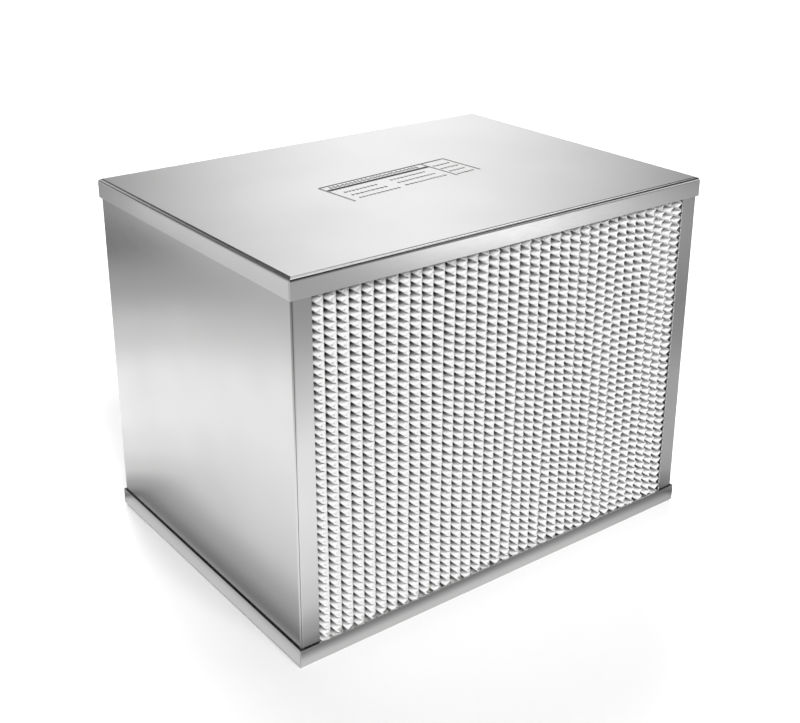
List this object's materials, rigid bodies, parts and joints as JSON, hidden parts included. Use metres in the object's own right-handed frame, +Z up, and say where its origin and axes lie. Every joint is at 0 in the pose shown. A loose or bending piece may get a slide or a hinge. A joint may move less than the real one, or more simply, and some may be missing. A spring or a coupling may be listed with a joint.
{
  "type": "hepa filter panel",
  "caption": "Box-type deep-pleat air filter: folded sheet-metal casing round a white pleated media pack with corrugated separators, sealed at the back by a flat gasket.",
  "frame": {"origin": "middle of the bottom cover's underside, on the surface the filter stands on", "axes": "+Z up; X across the width, the longest side; +Y with the air, from the open front at -Y to the gasketed back at +Y"},
  "size_m": [0.4, 0.298, 0.305],
  "materials": {
    "casing_steel": "satin, finely brushed",
    "filter_media": "matte white glass-fibre paper",
    "separator_paper": "matte white corrugated paper",
    "sealant": "cast off-white resin, slightly glossy",
    "gasket_sponge": "matte closed-cell sponge"
  },
  "bodies": {
    "root": {"bottom_cover": "casing_steel", "bottom_sealant": "sealant", "front_separator_01": "separator_paper", "front_separator_02": "separator_paper", "front_separator_03": "separator_paper", "front_separator_04": "separator_paper", "front_separator_05": "separator_paper", "front_separator_06": "separator_paper", "front_separator_07": "separator_paper", "front_separator_08": "separator_paper", "front_separator_09": "separator_paper", "front_separator_10": "separator_paper", "front_separator_11": "separator_paper", "front_separator_12": "separator_paper", "front_separator_13": "separator_paper", "front_separator_14": "separator_paper", "front_separator_15": "separator_paper", "front_separator_16": "separator_paper", "front_separator_17": "separator_paper", "front_separator_18": "separator_paper", "front_separator_19": "separator_paper", "front_separator_20": "separator_paper", "front_separator_21": "separator_paper", "front_separator_22": "separator_paper", "front_separator_23": "separator_paper", "front_separator_24": "separator_paper", "front_separator_25": "separator_paper", "front_separator_26": "separator_paper", "front_separator_27": "separator_paper", "front_separator_28": "separator_paper", "front_separator_29": "separator_paper", "front_separator_30": "separator_paper", "front_separator_31": "separator_paper", "front_separator_32": "separator_paper", "front_separator_33": "separator_paper", "front_separator_34": "separator_paper", "front_separator_35": "separator_paper", "front_separator_36": "separator_paper", "front_separator_37": "separator_paper", "gasket_bottom": "gasket_sponge", "gasket_left": "gasket_sponge", "gasket_right": "gasket_sponge", "gasket_top": "gasket_sponge", "left_sealant": "sealant", "left_side_plate": "casing_steel", "media_pack": "filter_media", "rear_separators": "separator_paper", "right_sealant": "sealant", "right_side_plate": "casing_steel", "top_cover": "casing_steel", "top_sealant": "sealant"}
  },
  "joints": []
}
